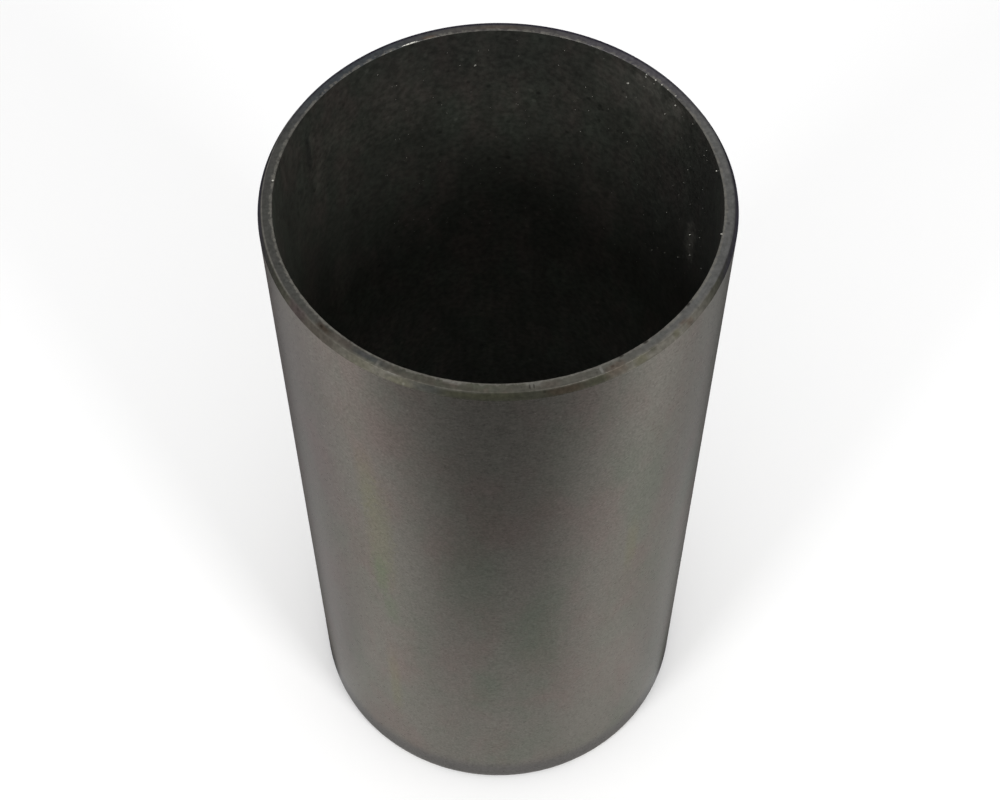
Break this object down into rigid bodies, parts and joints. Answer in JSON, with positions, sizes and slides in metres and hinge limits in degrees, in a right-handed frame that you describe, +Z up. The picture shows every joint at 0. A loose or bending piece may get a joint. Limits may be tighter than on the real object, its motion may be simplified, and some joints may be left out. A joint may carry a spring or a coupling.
{
  "type": "cylinder liner",
  "caption": "Plain dry cylinder liner: a thin-walled cast iron sleeve, open at both ends, with a lead-in chamfer round each end and lightly broken bore edges.",
  "frame": {"origin": "centre of the foot, the lower end face, on the bore's axis", "axes": "+Z up the bore's axis, from the foot to the top end face; X and Y are alike"},
  "size_m": [0.1016, 0.1016, 0.1984],
  "materials": {
    "cast_iron": "fine turned grey iron, lightly oiled, darker in the bore"
  },
  "bodies": {
    "root": {"cylinder_liner": "cast_iron"}
  },
  "joints": []
}
